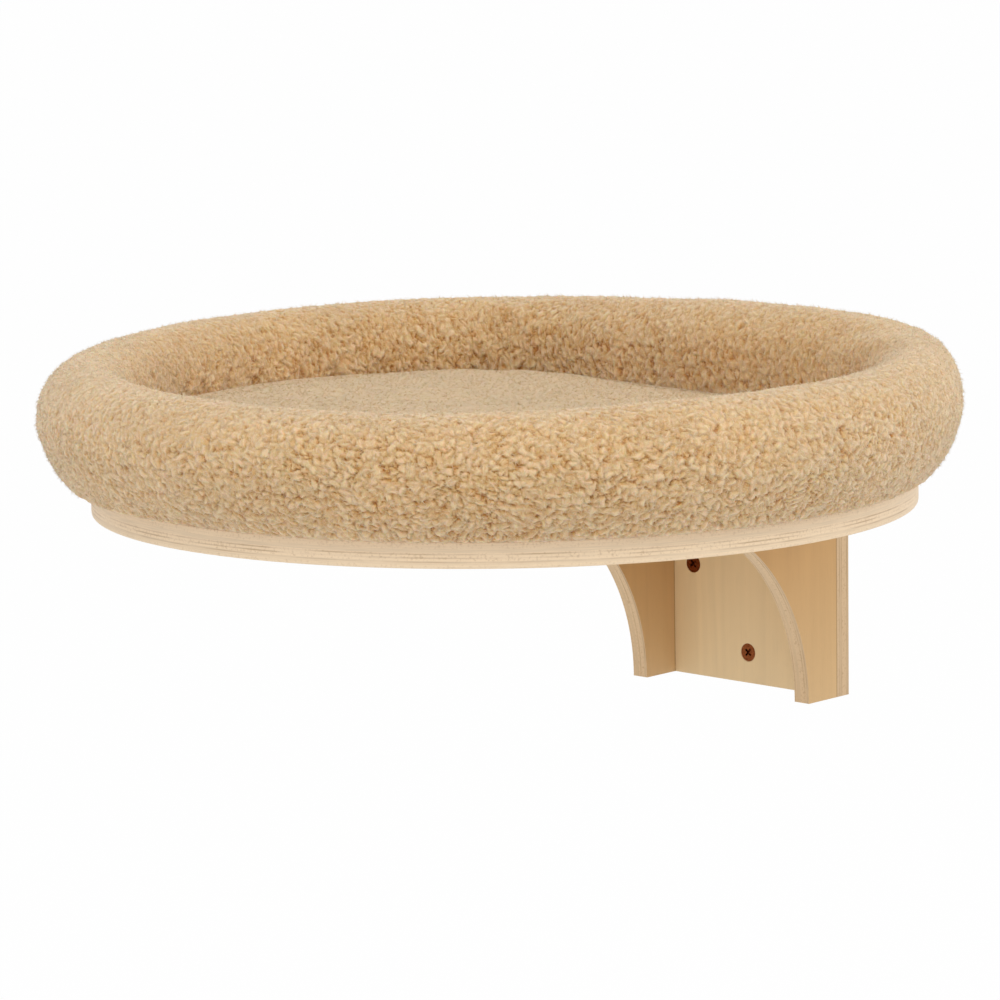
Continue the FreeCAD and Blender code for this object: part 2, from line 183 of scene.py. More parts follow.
def ring_length():
    corner = CORNER_RADIUS * (math.pi / 2 - CORNER_START)
    return 2 * (CORNER_X + corner + RING_RADIUS * (CORNER_START + math.pi / 2))


def ring_line(share):
    """Points and outward directions on the bolster's centre-line, at shares of its length from its rear."""
    length = ring_length()
    along = (share % 1.0) * length
    side = np.where(along > length / 2, -1.0, 1.0)
    along = np.minimum(along, length - along)
    corner = CORNER_RADIUS * (math.pi / 2 - CORNER_START)
    turn = np.where(
        along < CORNER_X,
        math.pi / 2,
        np.where(
            along < CORNER_X + corner,
            math.pi / 2 - (along - CORNER_X) / CORNER_RADIUS,
            CORNER_START - (along - CORNER_X - corner) / RING_RADIUS,
        ),
    )
    in_corner = along < CORNER_X + corner
    radius = np.where(in_corner, CORNER_RADIUS, RING_RADIUS)
    centre_x = np.where(in_corner, np.minimum(along, CORNER_X), 0.0)
    centre_y = np.where(in_corner, CORNER_Y, 0.0)
    out = np.stack([side * np.cos(turn), np.sin(turn)], -1)
    x = side * (centre_x + radius * np.cos(turn))
    y = BED_Y + centre_y + radius * np.sin(turn)
    return np.stack([x, y], -1), out


def plan_reach(angle, inset):
    """How far the bed's plan, drawn in from the centre-line, reaches from its centre at each angle."""
    up = np.abs(np.cos(angle)), np.sin(angle)
    along = up[0] * CORNER_X + up[1] * CORNER_Y
    across = CORNER_X ** 2 + CORNER_Y ** 2 - along ** 2
    corner = along + np.sqrt(np.maximum((CORNER_RADIUS - inset) ** 2 - across, 0))
    flat = (RING_FLAT - inset) / np.maximum(up[1], TINY)
    flat_end = math.atan2(RING_FLAT - inset, CORNER_X)
    beyond = np.arctan2(up[1], up[0])
    reach = np.where(beyond > flat_end, flat, corner)
    return np.where(beyond > CORNER_START, reach, RING_RADIUS - inset)


def disc_grid(count):
    """A square grid of points laid over the unit disc."""
    line = np.linspace(-1, 1, count)
    a, b = np.meshgrid(line, line, indexing="ij")
    return a * np.sqrt(1 - b ** 2 / 2), b * np.sqrt(1 - a ** 2 / 2)


def unit(vectors):
    return vectors / np.maximum(np.linalg.norm(vectors, axis=-1, keepdims=True), TINY)


def smooth(value):
    value = np.clip(value, 0, 1)
    return value * value * (3 - 2 * value)


def soft_noise(rng, u, v, across, along):
    """Smooth noise from -1 to 1 that wraps on the unit square, with across by along random cells."""
    values = rng.uniform(-1, 1, (across, along))
    x, y = u * across, v * along
    i, j = np.floor(x).astype(int), np.floor(y).astype(int)
    fx, fy = smooth(x - i), smooth(y - j)
    i, j, k, m = i % across, j % along, (i + 1) % across, (j + 1) % along
    low = values[i, j] * (1 - fx) + values[k, j] * fx
    high = values[i, m] * (1 - fx) + values[k, m] * fx
    return low * (1 - fy) + high * fy


def locks(rng, x, y, span, spacing, down):
    """Curled locks of pile on a cloth of that span, as rounded ridges that overlap, with creases where
    some meet: each point's height, from 0 to 1, and its place in its lock, across and along it, with a
    number for the lock. The locks lie roughly along y, and stand highest towards the end that down, 1 or
    -1, points to."""
    count = [max(5, round(side / spacing)) for side in span]
    cell = [side / n for side, n in zip(span, count)]

    def field(length, u, v):
        return soft_noise(rng, u, v, *[max(5, round(side / length)) for side in span])

    u, v = x / span[0], y / span[1]
    wave_height, wave_length, drift_length = 0.35 * spacing, 0.9 * spacing, 5 * spacing
    waves = [wave_height * field(wave_length, u, v) for k in range(2)]
    split = 0.6 * field(1.4 * spacing, u, v) + 0.8 * field(0.55 * spacing, u, v)
    x, y = x + waves[0], y + waves[1]
    i, j = np.floor(x / cell[0]).astype(int), np.floor(y / cell[1]).astype(int)
    height, second = np.zeros(x.shape), np.zeros(x.shape)
    lock = np.zeros((3, *x.shape))
    for layer in LOCK_LAYERS:
        centre = rng.uniform(0, 1, (*count, 2))
        drift = field(drift_length, *np.meshgrid(*[np.arange(n) / n for n in count], indexing="ij"))
        turn = math.pi / 2 + LOCK_DRIFT * drift + rng.uniform(-LOCK_TURN, LOCK_TURN, count)
        half_long = spacing * rng.uniform(*LOCK_LENGTH_SHARES, count)
        half_wide = spacing * rng.uniform(*LOCK_WIDTH_SHARES, count)
        bend = rng.uniform(-LOCK_BEND, LOCK_BEND, count)
        own = rng.uniform(0, 1, count)
        for di in range(-2, 3):
            for dj in range(-2, 3):
                a, b = (i + di) % count[0], (j + dj) % count[1]
                dx = x - (i + di + centre[a, b, 0]) * cell[0]
                dy = y - (j + dj + centre[a, b, 1]) * cell[1]
                c, s = np.cos(turn[a, b]), np.sin(turn[a, b])
                along = (dx * c + dy * s) / half_long[a, b]
                across = (dy * c - dx * s) / half_wide[a, b] + bend[a, b] * (along ** 2 - 0.3)
                ridge = layer * np.clip(1 - along ** 2 - across ** 2, 0, 1) ** 0.6
                ridge = ridge * (0.55 + 0.3 * own[a, b] + 0.15 * along * np.sign(s) * down)
                better = ridge > height
                second = np.where(better, height, np.maximum(second, ridge))
                height = np.where(better, ridge, height)
                place = [across * half_wide[a, b], along * half_long[a, b], own[a, b] + layer]
                lock = np.where(better, place, lock)
    crease = np.exp(-(height - second) / CREASE_WIDTH) * np.clip(0.4 + 0.8 * split, 0, 1)
    return np.clip(height - CREASE_DEPTH * crease, 0, 1), np.moveaxis(lock, 0, -1)


def show_pile(piece, height, lock):
    """Keeps the pile's height and locks on the mesh, where its material reads them.
    The points after the pile's own lie hidden."""
    total = len(piece.data.vertices)
    levels, places = np.full(total, PILE_LEVEL, np.float32), np.zeros((total, 3), np.float32)
    levels[: height.size] = height.ravel()
    places[: height.size] = lock.reshape(-1, 3)
    piece.data.attributes.new("pile", "FLOAT", "POINT").data.foreach_set("value", levels)
    piece.data.attributes.new("lock", "FLOAT_VECTOR", "POINT").data.foreach_set("vector", places.ravel())


def fibres(name, rng, points, normals, weight, count):
    """Single fibres that stand out of the pile: thin closed spikes, each in its own cell of the flat map."""
    pick = rng.choice(weight.size, count, p=(weight / weight.sum()).ravel())
    root, out = points.reshape(-1, 3)[pick], normals.reshape(-1, 3)[pick]
    lean = rng.normal(0, 1, (count, 3))
    lean = unit(lean - (lean * out).sum(-1, keepdims=True) * out)
    length, radius = rng.uniform(*FIBRE_LENGTH, (count, 1)), rng.uniform(*FIBRE_RADIUS, (count, 1))
    curl = rng.uniform(-FIBRE_CURL, FIBRE_CURL, (count, 1))
    ahead = unit(FIBRE_RISE * out + FIBRE_LEAN * lean + curl * np.cross(out, lean))
    across = unit(np.cross(out, ahead))
    beside = np.cross(ahead, across)
    start = root - FIBRE_ROOT * out
    turns = rng.uniform(0, math.pi, (count, 1)) + np.arange(3) * 2 * math.pi / 3
    ring = np.cos(turns)[..., None] * across[:, None] + np.sin(turns)[..., None] * beside[:, None]
    base = start[:, None] + radius[:, None] * ring
    spikes = np.concatenate([base, (start + length * ahead)[:, None]], 1)
    sides = np.array([[0, 2, 1], [0, 1, 3], [1, 2, 3], [2, 0, 3]])
    faces = (np.arange(count)[:, None, None] * 4 + sides).reshape(-1, 3)
    cells = math.ceil(math.sqrt(count))
    cell = np.stack(np.divmod(np.arange(count), cells), -1)[:, None, None]
    low, half, high = 0.1, 0.5, 0.9
    left, right = (0.3, half), (0.7, half)
    unfolded = np.array([
        [(half, low), left, right],
        [(low, low), (half, low), left],
        [(half, low), (high, low), right],
        [left, right, (half, high)],
    ])
    return make_piece(name, clear_of_neighbours(spikes), faces.tolist(), (cell + unfolded) / cells)


def past_shelf(points):
    """How far points lie outside the shelf's round edge, in plan."""
    return np.hypot(points[..., 0], points[..., 1] - (SHELF_LOW.y + SHELF_HIGH.x)) - SHELF_HIGH.x


def clear_of_neighbours(points):
    """Keeps soft points off the wall's plane and above the shelf."""
    points = points.copy()
    points[..., 1] = np.minimum(points[..., 1], -WALL_GAP)
    raised = np.maximum(points[..., 2], SEAT_Z)
    points[..., 2] = np.where(past_shelf(points) < SHELF_MARGIN, raised, points[..., 2])
    return points


def make_piece(name, points, faces, uv=None):
    mesh = bpy.data.meshes.new(name)
    mesh.from_pydata(np.reshape(points, (-1, 3)).tolist(), [], faces)
    mesh.update()
    mesh.shade_smooth()
    if uv is not None:
        layer = mesh.uv_layers.new(name="OFBake")
        layer.data.foreach_set("uv", np.ravel(uv).astype(np.float32))
    piece = bpy.data.objects.new(name, mesh)
    bpy.context.scene.collection.objects.link(piece)
    return piece


def ring_faces(across, along):
    """Quads of a grid that wraps both ways, and their places on a flat map."""
    i, j = np.meshgrid(np.arange(across), np.arange(along), indexing="ij")
    k, m = (i + 1) % across, (j + 1) % along
    quads = np.stack([i * along + j, i * along + m, k * along + m, k * along + j], -1)
    u = np.stack([i, i, i + 1, i + 1], -1) / across
    v = np.stack([j, j + 1, j + 1, j], -1) / along
    return quads.reshape(-1, 4).tolist(), np.stack([u, v], -1)


def disc_faces(count):
    i, j = np.meshgrid(np.arange(count - 1), np.arange(count - 1), indexing="ij")
    first = i * count + j
    quads = np.stack([first, first + count, first + count + 1, first + 1], -1)
    return quads.reshape(-1, 4).tolist()


def disc_rim(count):
    """The grid's outer points in order, anticlockwise seen from above."""
    last = count - 1
    steps = np.arange(last)
    return np.concatenate([
        steps * count,
        last * count + steps,
        (last - steps) * count + last,
        last - steps,
    ])


def resample(grid, rows, columns, wrap):
    """Values between the points of a coarse grid, at fractional rows and columns."""
    count = np.array(grid.shape[:2])
    i, j = np.floor(rows).astype(int), np.floor(columns).astype(int)
    fx, fy = (rows - i)[:, None, None], (columns - j)[None, :, None]

    def pick(*places):
        a, b = [p % n if wrap else np.clip(p, 0, n - 1) for p, n in zip(places, count)]
        return grid[a][:, b]

    def spline(t, p):
        return p[1] + 0.5 * t * (
            p[2] - p[0] + t * (2 * p[0] - 5 * p[1] + 4 * p[2] - p[3] + t * (3 * (p[1] - p[2]) + p[3] - p[0]))
        )

    lines = [spline(fy, [pick(i + a, j + b) for b in range(-1, 3)]) for a in range(-1, 3)]
    return spline(fx, lines)


def normals_of(points, wrap):
    """Unit normals of a grid of points, out of a ring that wraps or up from a pad that doesn't."""
    if wrap:
        along = np.roll(points, -1, 1) - np.roll(points, 1, 1)
        across = np.roll(points, -1, 0) - np.roll(points, 1, 0)
    else:
        along, across = np.gradient(points, axis=0), np.gradient(points, axis=1)
    return unit(np.cross(along, across))


def swell(piece, sewn):
    """How far each point of a closed cloth moves when it is filled. The sewn points stay."""
    rest = np.zeros(len(piece.data.vertices) * 3)
    piece.data.vertices.foreach_get("co", rest)
    group = piece.vertex_groups.new(name="sewn")
    group.add([int(k) for k in sewn], 1.0, "REPLACE")
    cloth = piece.modifiers.new("Cloth", "CLOTH")
    cloth.settings.vertex_group_mass = group.name
    cloth.settings.use_pressure = True
    cloth.settings.uniform_pressure_force = CLOTH_PRESSURE
    cloth.settings.effector_weights.gravity = 0
    cloth.point_cache.frame_end = CLOTH_FRAMES
    for step in range(1, CLOTH_FRAMES + 1):
        bpy.context.scene.frame_set(step)
    filled = piece.evaluated_get(bpy.context.evaluated_depsgraph_get())
    moved = np.zeros_like(rest)
    filled.data.vertices.foreach_get("co", moved)
    bpy.context.scene.frame_set(1)
    return (moved - rest).reshape(-1, 3)


# The bolster

def section_line(share):
    """The bolster's section at shares of its outline: out from the centre-line, as a share of half the
    width, and up, as a share of the height, with the outline's length. It starts underneath and goes
    outwards. The inside is upright near its foot."""
    turn = np.linspace(-math.pi / 2, 1.5 * math.pi, OUTLINE_STEPS)
    c, s = np.cos(turn), np.sin(turn)
    power = 2 / np.where(s >= 0, CREST_POWER, np.where(c > 0, OUTER_POWER, INNER_POWER))
    out = np.sign(c) * np.abs(c) ** power
    lift = np.sign(s) * np.abs(s) ** power
    up = WIDEST_SHARE + lift * np.where(lift > 0, 1 - WIDEST_SHARE, WIDEST_SHARE)
    steps = np.hypot(np.diff(out) * BOLSTER_WIDTH / 2, np.diff(up) * (BOLSTER_HIGH.z - SEAT_Z))
    along = np.concatenate([[0], np.cumsum(steps)])
    return np.interp(share, along / along[-1], out), np.interp(share, along / along[-1], up), along[-1]


def section_shares(count):
    """Shares of the section's outline, close together where the pile shows and apart where it is hidden."""
    share = np.linspace(0, 1, OUTLINE_STEPS)
    out, up, length = section_line(share)
    hidden = (up < 0.03) | ((out < 0) & (up < 0.4))
    seen = np.where(hidden, 0.3, 1.0)
    weight = np.concatenate([[0], np.cumsum((seen[1:] + seen[:-1]) / 2)])
    return np.interp(np.arange(count) / count, weight / weight[-1], share)


def bolster_form(ring, section, inset, seat=0.0):
    """The stuffed ring's surface, drawn in by inset and raised by seat: points along it and round it."""
    line, out = ring_line(ring)
    across, up, length = section_line(section)
    angle = np.arctan2(line[:, 1] - BED_Y, line[:, 0])
    crest = MM * np.interp(np.degrees(angle), list(CREST_HEIGHTS), list(CREST_HEIGHTS.values()), period=360)
    outer = BOLSTER_WIDTH / 2 + SIDE_SHIFT * np.cos(angle - SIDE_SHIFT_ANGLE)
    half = np.where(across[None, :] > 0, outer[:, None], BOLSTER_WIDTH / 2)
    height = up[None, :] * (crest[:, None] - inset - seat)
    sag = SAG * smooth(np.cos(angle - SAG_ANGLE))[:, None] * smooth(1 - height / SAG_HEIGHT)
    reach = across[None, :] * (half - inset) + sag * (across >= 0)[None, :]
    xy = line[:, None, :] + out[:, None, :] * reach[..., None]
    return np.concatenate([xy, SEAT_Z + seat + height[..., None]], -1)


def bolster_puff():
    """The cover filled by a cloth simulation: how far the coarse grid stands out from its mean section."""
    ring, section = np.arange(RING_COARSE) / RING_COARSE, np.arange(SECTION_COARSE) / SECTION_COARSE
    start = bolster_form(ring, section, BOLSTER_SWELL)
    rough = make_piece("bolster_rough", start, ring_faces(RING_COARSE, SECTION_COARSE)[0])
    foot = np.abs(section - np.round(section)) < SEWN_SHARE
    sewn = np.arange(RING_COARSE * SECTION_COARSE).reshape(RING_COARSE, SECTION_COARSE)[:, foot]
    moved = swell(rough, sewn.ravel()).reshape(start.shape)
    bpy.data.objects.remove(rough)
    puff = (moved * normals_of(start, True)).sum(-1, keepdims=True)
    return np.clip(puff - puff.mean(0), -PUFF_LIMIT, PUFF_LIMIT)


def bolster_piece():
    rng = np.random.default_rng(11)
    ring = np.arange(RING_FINE) / RING_FINE
    section = section_shares(SECTION_FINE)
    points = bolster_form(ring, section, PILE_ROOT)
    u, v = np.meshgrid(ring, section, indexing="ij")
    lump = soft_noise(rng, u, v, *LARGE_LUMPS) + 0.5 * soft_noise(rng, u, v, *SMALL_LUMPS)
    puff = resample(bolster_puff(), ring * RING_COARSE, section * SECTION_COARSE, True)
    points = points + normals_of(points, True) * (puff + FILL_LUMP * lump[..., None])

    across, up, length = section_line(section)
    span = ring_length(), length
    down = np.where(across < 0, 1, -1)[None, :]
    pile, lock = locks(rng, u * span[0], v * span[1], span, LOCK_SPACING, down)
    angle = np.arctan2(points[..., 1] - BED_Y, points[..., 0])
    crest = smooth((up - CREST_START) / (1 - CREST_START))
    calm = (1 - CALM_ENDS * np.sin(angle - CURL_ANGLE) ** 2) * (1 - CALM_CREST * crest)
    pile = PILE_MEAN + calm * (pile - PILE_MEAN)
    free = smooth((points[..., 2] - SEAT_Z) / FOOT_FADE + 0.35)
    rise = (pile - PILE_LEVEL) * LOCK_HEIGHT * free
    points = clear_of_neighbours(points + normals_of(points, True) * rise[..., None])
    hang = smooth((past_shelf(points) - FRINGE_START) / FRINGE_WIDTH)
    hang = hang * smooth(1.6 - (points[..., 2] - SEAT_Z) / FRINGE_RISE)
    points[..., 2] -= FRINGE * hang * (0.4 + 0.6 * pile)
    piece = make_piece("bolster_plush", points, *ring_faces(RING_FINE, SECTION_FINE))
    # The pile level kept for the material is lowered on the inner side, which paints shade inside the ring
    show_pile(piece, pile - INSIDE_PAINTED_SHADE * smooth(-2 * across), lock)
    weight = np.clip(pile - FIBRE_FLOOR, 0, 1) * (points[..., 2] > SEAT_Z + FIBRE_CLEAR)
    loose = fibres("bolster_fibres", rng, points, normals_of(points, True), weight, BOLSTER_FIBRES)
    return piece, loose


# The pad

def pad_form(count, drop, inset):
    """The pad's top, lowered by drop and drawn in by inset: crowned in the middle, rolled down at its edge
    and fuller on the left."""
    a, b = disc_grid(count)
    angle, share = np.arctan2(b, a), np.hypot(a, b)
    reach = plan_reach(angle, RING_RADIUS - PAD_HIGH.x + inset)
    x, y = share * reach * np.cos(angle), BED_Y + share * reach * np.sin(angle)
    edge = np.clip(1 - (1 - share) * reach / PAD_EDGE_ROUND, 0, 1)
    roll = PAD_EDGE_ROUND * (1 - np.sqrt(1 - edge ** 2))
    crown = PAD_CROWN * (1 - share ** 2) - PAD_LEAN * x
    return np.stack([x, y, PAD_HIGH.z - PAD_CROWN + crown - roll - drop], -1)


def closed_pad(name, top, bottom_z):
    """A closed mesh from the pad's top grid, a straight skirt and a flat underside."""
    count = len(top)
    rim = disc_rim(count)
    points = top.reshape(-1, 3)
    skirt = points[rim].copy()
    skirt[:, 2] = bottom_z
    centre = [[0.0, BED_Y, bottom_z]]
    start, middle, total = len(points), len(points) + len(rim), len(rim)
    sides = [
        [int(rim[k]), start + k, start + (k + 1) % total, int(rim[(k + 1) % total])] for k in range(total)
    ]
    under = [[start + (k + 1) % total, start + k, middle] for k in range(total)]
    return make_piece(name, np.concatenate([points, skirt, centre]), disc_faces(count) + sides + under)


def pad_piece():
    coarse = pad_form(PAD_COARSE, PAD_SWELL, -PAD_PRESS)
    rough = closed_pad("pad_rough", coarse, PAD_LOW.z)
    sewn = np.arange(PAD_COARSE ** 2, len(rough.data.vertices))
    moved = swell(rough, np.concatenate([sewn, disc_rim(PAD_COARSE)]))
    moved = moved[: PAD_COARSE ** 2].reshape(coarse.shape)
    bpy.data.objects.remove(rough)
    puff = np.clip((moved * normals_of(coarse, False)).sum(-1, keepdims=True), 0, PAD_SWELL)

    rng = np.random.default_rng(23)
    step = np.linspace(0, PAD_COARSE - 1, PAD_FINE)
    points = pad_form(PAD_FINE, PAD_SWELL, -PAD_PRESS)
    normal = normals_of(points, False)
    points = points + normal * resample(puff, step, step, False)
    x = points[..., 0] + PAD_CLOTH / 2
    y = points[..., 1] - BED_Y + PAD_CLOTH / 2
    lump = soft_noise(rng, x / PAD_CLOTH, y / PAD_CLOTH, *PAD_LUMPS)
    pile, lock = locks(rng, x, y, (PAD_CLOTH, PAD_CLOTH), PAD_LOCK_SPACING, -1)
    points = points + normal * (FILL_LUMP * lump + (pile - PILE_LEVEL) * PAD_LOCK_HEIGHT)[..., None]
    piece = closed_pad("pad_plush", points, PAD_LOW.z)
    show_pile(piece, pile, lock)
    weight = np.clip(pile - FIBRE_FLOOR, 0, 1)
    loose = fibres("pad_fibres", rng, points, normals_of(points, False), weight, PAD_FIBRES)
    return piece, loose


# Materials

def add_node(tree, kind, inputs=None, **settings):
    node = tree.nodes.new("ShaderNode" + kind)
    for key, value in settings.items():
        setattr(node, key, value)
    for key, value in (inputs or {}).items():
        if isinstance(value, bpy.types.NodeSocket):
            tree.links.new(value, node.inputs[key])
        else:
            node.inputs[key].default_value = value
    return node


def calc(tree, operation, a, b=0.0, clamp=False):
    node = add_node(tree, "Math", {0: a, 1: b}, operation=operation, use_clamp=clamp)
    return node.outputs[0]


def mix(tree, factor, a, b, blend="MIX"):
    node = add_node(tree, "Mix", {0: factor, 6: a, 7: b}, data_type="RGBA", blend_type=blend)
    return node.outputs[2]


def span_of(tree, value, low, high, to_low=0.0, to_high=1.0):
    inputs = {"Value": value, "From Min": low, "From Max": high, "To Min": to_low, "To Max": to_high}
    return add_node(tree, "MapRange", inputs).outputs[0]


def ramp(tree, factor, stops):
    node = add_node(tree, "ValToRGB", {"Fac": factor})
    elements = node.color_ramp.elements
    while len(elements) < len(stops):
        elements.new(0.5)
    for element, (place, colour) in zip(elements, stops):
        element.position = place
        element.color = colour
    return node.outputs["Color"]


def noise(tree, where, scale, detail=2.0, distortion=0.0, roughness=0.5):
    inputs = {"Vector": where, "Scale": scale, "Detail": detail}
    inputs.update({"Roughness": roughness, "Distortion": distortion})
    return add_node(tree, "TexNoise", inputs).outputs["Fac"]


def scaled(tree, where, factors):
    return add_node(tree, "Mapping", {"Vector": where, "Scale": factors}).outputs["Vector"]


def stretched(tree, where, axis, along, across):
    """Places for a noise whose marks measure along on one axis and across on the other two."""
    factors = [1 / across] * 3
    factors[axis] = 1 / along
    return scaled(tree, where, factors)


def dimmed(tree, colour, factor):
    grey = add_node(tree, "CombineColor", {0: factor, 1: factor, 2: factor}).outputs[0]
    return mix(tree, 1.0, colour, grey, "MULTIPLY")


def rgb(red, green, blue):
    return (red, green, blue, 1.0)


def shade(colour, factor=1.0):
    return rgb(*[channel * factor for channel in colour])


def new_material(name, **constants):
    material = bpy.data.materials.new(name)
    material.use_nodes = True
    tree = material.node_tree
    shader = tree.nodes["Principled BSDF"]
    for key, value in constants.items():
        shader.inputs[key.replace("_", " ")].default_value = value
    where = add_node(tree, "TexCoord")
    return material, tree, shader, where


def add_bump(tree, shader, height, distance, strength=1.0):
    bump = add_node(tree, "Bump", {"Height": height, "Distance": distance, "Strength": strength})
    tree.links.new(bump.outputs["Normal"], shader.inputs["Normal"])


def plush(name, crevice_shade, root, body, tip):
    """Curly pile: dark between the locks, which is painted shade in the crevices, light on their tops,
    with fine strands along each lock.
    """
    material, tree, shader, where = new_material(
        name, Roughness=0.95, Specular_IOR_Level=0.1, Sheen_Weight=0.45, Sheen_Roughness=0.5,
        Subsurface_Weight=0.6, Subsurface_Radius=(1.0, 0.45, 0.18), Subsurface_Scale=1.2 * MM,
    )
    pile = add_node(tree, "Attribute", attribute_name="pile").outputs["Fac"]
    lock = add_node(tree, "Attribute", attribute_name="lock").outputs["Vector"]
    strands = noise(tree, scaled(tree, lock, (1 / STRAND, 0.15 / STRAND, 80.0)), 1.0, 2.0, 0.5)
    fuzz = noise(tree, where.outputs["Object"], 1 / STRAND, 2.0, 0.8)
    patches = noise(tree, where.outputs["Object"], 28.0, 2.0)
    fibres = calc(tree, "ADD", calc(tree, "MULTIPLY", strands, 0.55), calc(tree, "MULTIPLY", fuzz, 0.45))
    level = calc(tree, "ADD", pile, span_of(tree, fibres, 0.3, 0.7, -0.26, 0.26))
    # The two darkest stops, low in the pile between the locks, are painted shade in the crevices
    colour = ramp(tree, level, [(0.12, crevice_shade), (0.30, root), (0.46, body), (0.80, tip)])
    colour = dimmed(tree, colour, span_of(tree, patches, 0.3, 0.7, 0.95, 1.04))
    tree.links.new(colour, shader.inputs["Base Color"])
    add_bump(tree, shader, fibres, 0.6 * MM, 0.8)
    return material


def strands_of(name, dark, light):
    """The single fibres of the pile, each a little lighter or darker than the next."""
    look = dict(Roughness=0.9, Specular_IOR_Level=0.1, Sheen_Weight=0.3)
    material, tree, shader, where = new_material(name, **look)
    tones = noise(tree, where.outputs["Object"], 300.0, 2.0)
    tree.links.new(ramp(tree, tones, [(0.3, dark), (0.7, light)]), shader.inputs["Base Color"])
    return material


def veneer_look(tree, place, box, grain, tones, seam):
    """A board's face: soft bands and pores along the grain, from one tone at the grain's low end to another
    at its high end, with a dark line where the high end of its seam axis stands against another board.
    Where the high-end tone is darker, as on the plate and gussets under the shelf, it is painted shade."""
    split = add_node(tree, "SeparateXYZ", {0: place}).outputs
    bands = noise(tree, stretched(tree, place, grain, BAND_LENGTH, BAND_WIDTH), 1.0, 4.0, 0.6)
    pores = noise(tree, stretched(tree, place, grain, PORE_LENGTH, PORE_WIDTH), 1.0, 2.0)
    share = span_of(tree, split[grain], box[0][grain], box[1][grain])
    # From the low-end tone to the high-end tone along the grain: on the plate and gussets this paints shade
    # towards the shelf
    colour = mix(tree, share, *[shade(tone) for tone in tones])
    colour = dimmed(tree, colour, span_of(tree, bands, 0.3, 0.7, 0.95, 1.04))
    colour = mix(tree, span_of(tree, pores, 0.6, 0.8, 0.0, 0.25), colour, shade(tones[1], 0.72))
    from_seam = calc(tree, "ABSOLUTE", calc(tree, "SUBTRACT", split[seam], box[1][seam]))
    dark = span_of(tree, from_seam, *SEAM_LINE, 0.6, 0.0)
    return mix(tree, dark, colour, shade(tones[1], 0.4)), pores


def edge_look(tree, place, box, axis, plies, lines, tone):
    """A board's edge: plies with streaks and specks, and broken glue lines at shares of the thickness."""
    low, thickness = box[0][axis], box[1][axis] - box[0][axis]
    across = add_node(tree, "SeparateXYZ", {0: place}).outputs[axis]
    depth = calc(tree, "SUBTRACT", across, low)
    layer = calc(tree, "FLOOR", calc(tree, "MULTIPLY", depth, plies / thickness))
    own = add_node(tree, "TexWhiteNoise", {"W": layer}, noise_dimensions="1D").outputs["Value"]
    streaks = stretched(tree, place, axis, STREAK_WIDTH, STREAK_LENGTH)
    streaks = noise(tree, streaks, 1.0, 4.0, 0.0, 0.65)
    level = calc(tree, "ADD", calc(tree, "MULTIPLY", own, 0.2), calc(tree, "MULTIPLY", streaks, 0.8))
    colour = ramp(tree, level, [(0.3, shade(tone, 0.88)), (0.5, shade(tone)), (0.7, shade(tone, 1.06))])
    brown = rgb(0.55 * tone[0], 0.45 * tone[1], 0.35 * tone[2])
    specks = span_of(tree, noise(tree, place, 1 / SPECK, 3.0), 0.52, 0.72, 0.0, 0.5)
    colour = mix(tree, calc(tree, "MULTIPLY", specks, own), colour, brown)
    for line in lines:
        off = calc(tree, "ABSOLUTE", calc(tree, "SUBTRACT", depth, line * thickness))
        glue = span_of(tree, off, *GLUE_LINE, 1.0, 0.0)
        broken = span_of(tree, noise(tree, place, 25.0 + 30.0 * line, 5.0), 0.42, 0.66, 0.1, 0.75)
        colour = mix(tree, calc(tree, "MULTIPLY", glue, broken), colour, brown)
    return colour, streaks


def plywood(name, box, axis, plies, lines, grain, face_tones, edge_tone, seam):
    """Birch plywood that is glued up along an axis: veneer on the faces and plies on the edges."""
    material, tree, shader, where = new_material(name, Roughness=0.55, Specular_IOR_Level=0.3)
    place = where.outputs["Object"]
    veneer, pores = veneer_look(tree, place, box, grain, face_tones, seam)
    edge, streaks = edge_look(tree, place, box, axis, plies, lines, edge_tone)
    facing = add_node(tree, "SeparateXYZ", {0: where.outputs["Normal"]}).outputs[axis]
    face = span_of(tree, calc(tree, "ABSOLUTE", facing), 0.6, 0.85)
    tree.links.new(mix(tree, face, edge, veneer), shader.inputs["Base Color"])
    add_bump(tree, shader, calc(tree, "ADD", pores, calc(tree, "MULTIPLY", streaks, 0.5)), 0.05 * MM)
    return material


def bronzed_metal():
    material, tree, shader, where = new_material("bronzed_metal", Metallic=1.0)
    stain = noise(tree, where.outputs["Object"], 900.0, 4.0)
    colour = ramp(tree, stain, [(0.3, rgb(0.14, 0.034, 0.009)), (0.7, rgb(0.27, 0.078, 0.024))])
    tree.links.new(colour, shader.inputs["Base Color"])
    tree.links.new(span_of(tree, stain, 0.3, 0.7, 0.5, 0.32), shader.inputs["Roughness"])
    return material


def tape(name, spacing, colour, dark):
    """Fastening tape: rows of fine hooks or a brushed pile of loops."""
    material, tree, shader, where = new_material(name, Roughness=0.85, Specular_IOR_Level=0.2)
    inputs = {"Vector": where.outputs["Object"], "Scale": 1 / spacing, "Randomness": 0.35}
    dots = add_node(tree, "TexVoronoi", inputs).outputs["Distance"]
    tree.links.new(ramp(tree, dots, [(0.1, colour), (0.6, dark)]), shader.inputs["Base Color"])
    add_bump(tree, shader, span_of(tree, dots, 0.0, 0.6, 1.0, 0.0), 0.5 * MM)
    return material


